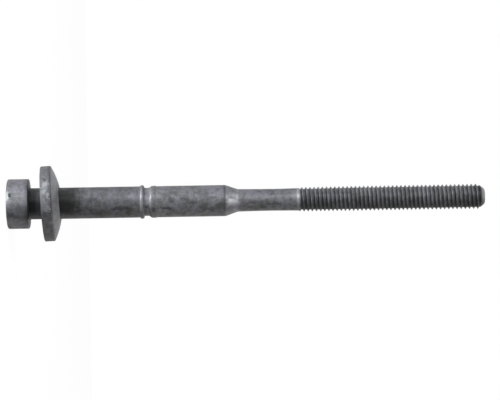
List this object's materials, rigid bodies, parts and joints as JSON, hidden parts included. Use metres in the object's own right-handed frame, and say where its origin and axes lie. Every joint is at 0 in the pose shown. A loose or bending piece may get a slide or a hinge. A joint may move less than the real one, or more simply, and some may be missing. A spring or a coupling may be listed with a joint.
{
  "type": "injector clamp bolt",
  "caption": "Long waisted clamp bolt with a round socket head and a loose, ball-faced washer that a rolled ring keeps on its shank.",
  "frame": {"origin": "centre of the head's end face, where the hexagon socket opens and the bolt stands", "axes": "+Z along the bolt from the head to the tip of the thread; the washer leans towards -X as the picture shows it"},
  "size_m": [0.0183, 0.0182, 0.1152],
  "materials": {
    "bolt_steel": "grey phosphated steel, dull and a little oily, mottled darker and lighter",
    "washer_steel": "grey phosphated steel, dull, with small bright rubbed spots on its rim"
  },
  "bodies": {
    "bolt": {"bolt": "bolt_steel"},
    "washer": {"washer": "washer_steel"}
  },
  "joints": [
    {"name": "washer_slide", "type": "slide", "parent": "bolt", "child": "washer", "axis": [0, 0, 1], "range_m": [-0.00285, 0.0194]}
  ]
}
